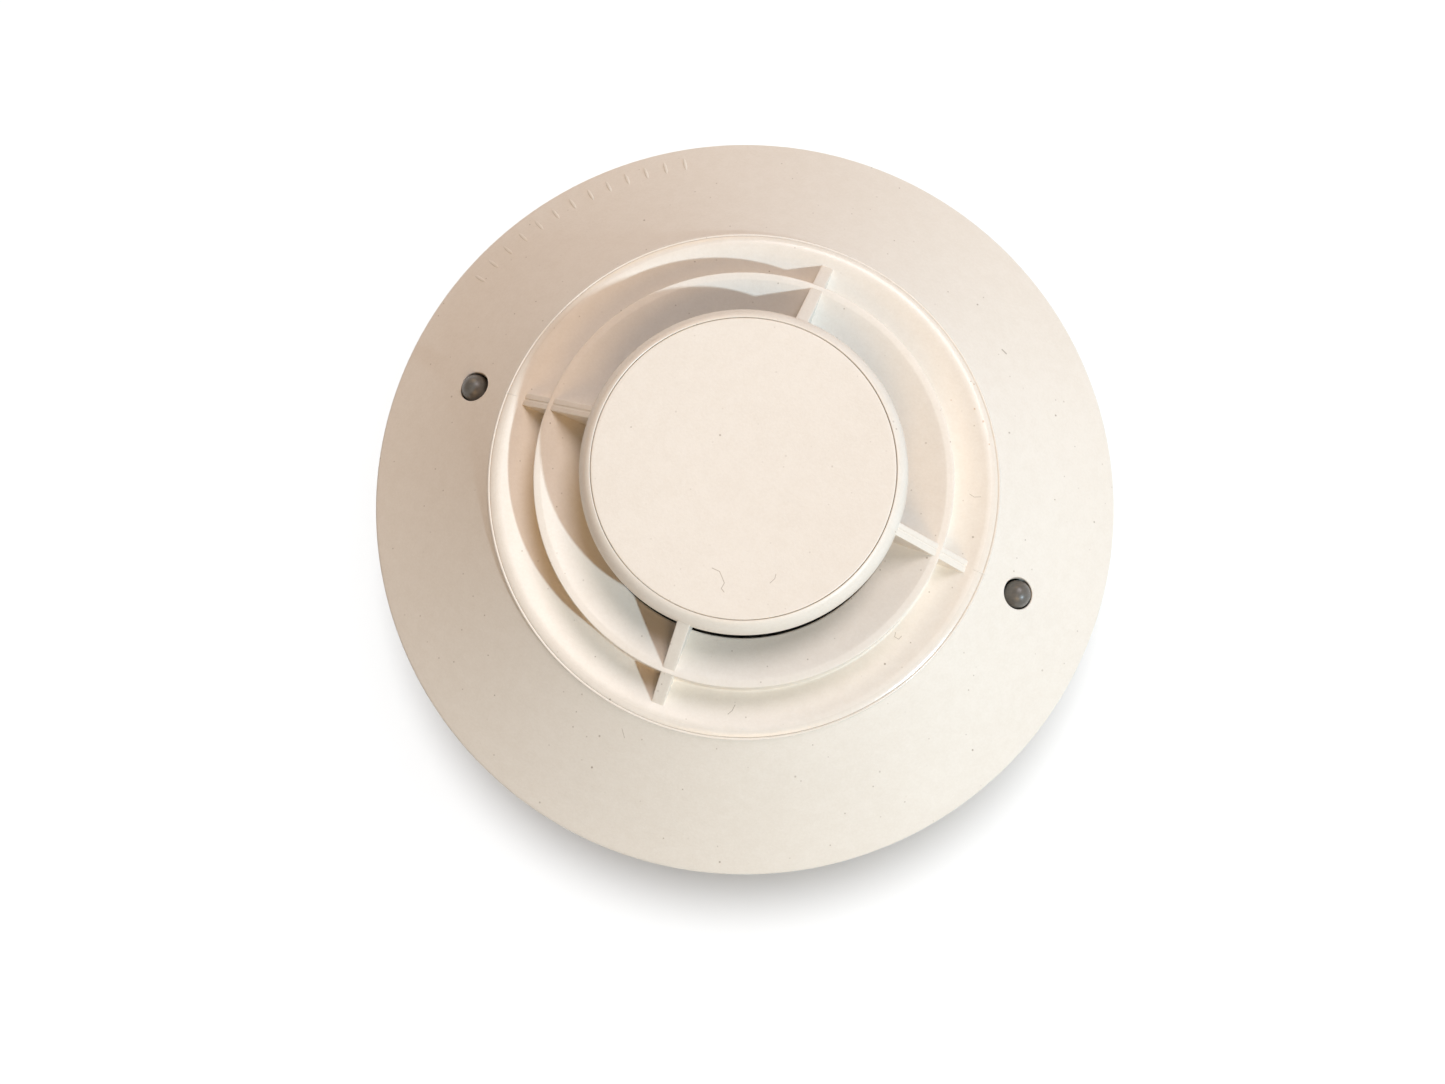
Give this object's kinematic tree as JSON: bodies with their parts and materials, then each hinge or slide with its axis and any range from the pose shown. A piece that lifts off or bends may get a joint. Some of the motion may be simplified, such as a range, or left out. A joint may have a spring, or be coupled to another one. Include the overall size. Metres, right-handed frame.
{
  "type": "heat detector",
  "caption": "Round plug-in ceiling heat detector: stepped cover with air inlets under a flat cap, two indicator lamps, and a twist-lock mounting base.",
  "frame": {"origin": "centre of the base's flat back face, which goes against the ceiling or its box", "axes": "+Z out of the ceiling into the room, along the axis of the head; +X through the right indicator lamp and one of the base's mounting slots"},
  "size_m": [0.104, 0.104, 0.0531],
  "materials": {
    "cover_plastic": "fine-textured matt ivory ABS",
    "black_plastic": "matt black moulded plastic",
    "contact_brass": "bare spring brass",
    "screw_steel": "zinc-plated steel",
    "board_green": "solder-masked glass-epoxy board",
    "lamp_smoke": "smoky translucent lens",
    "bead_epoxy": "black epoxy",
    "lead_wire": "tinned wire",
    "switch_blue": "moulded switch body",
    "dial_white": "moulded white dial",
    "can_aluminium": "drawn can",
    "reed_glass": "clear glass tube",
    "ceramic_tan": "fired ceramic"
  },
  "bodies": {
    "base": {"base_body": "cover_plastic", "base_contact_1": "contact_brass", "base_contact_2": "contact_brass", "base_contact_3": "contact_brass", "base_contact_4": "contact_brass", "clamp_plates": "screw_steel", "terminal_screws": "screw_steel"},
    "head": {"front_cover": "cover_plastic", "cap_disc": "cover_plastic", "rear_housing": "black_plastic", "contact_blade_1": "contact_brass", "contact_blade_2": "contact_brass", "contact_blade_3": "contact_brass", "contact_blade_4": "contact_brass", "housing_screws": "screw_steel", "circuit_board": "board_green", "indicator_lamp_right": "lamp_smoke", "indicator_lamp_left": "lamp_smoke", "sensor_plate": "black_plastic", "thermistor_right": "bead_epoxy", "thermistor_left": "bead_epoxy", "thermistor_leads": "lead_wire", "address_switch_tens": "switch_blue", "address_switch_units": "switch_blue", "controller_chip": "bead_epoxy", "line_chip": "bead_epoxy", "chip_pins": "lead_wire", "electrolytic_capacitor": "can_aluminium", "bridge_rectifier": "bead_epoxy", "surge_diode": "bead_epoxy", "crystal": "can_aluminium", "reed_switch": "reed_glass", "reed_leads": "lead_wire", "chip_resistors": "bead_epoxy", "chip_capacitors": "ceramic_tan"},
    "tens_dial": {"tens_dial": "dial_white"},
    "units_dial": {"units_dial": "dial_white"}
  },
  "joints": [
    {"name": "head_twist", "type": "hinge", "parent": "base", "child": "head", "pos_m": [0, 0, 0.02], "axis": [0, 0, 1], "range_deg": [0, 18]},
    {"name": "tens_dial_turn", "type": "hinge", "parent": "head", "child": "tens_dial", "pos_m": [-0.009, -0.015, 0.02], "axis": [0, 0, 1], "continuous": true},
    {"name": "units_dial_turn", "type": "hinge", "parent": "head", "child": "units_dial", "pos_m": [0.009, -0.015, 0.02], "axis": [0, 0, 1], "continuous": true}
  ]
}
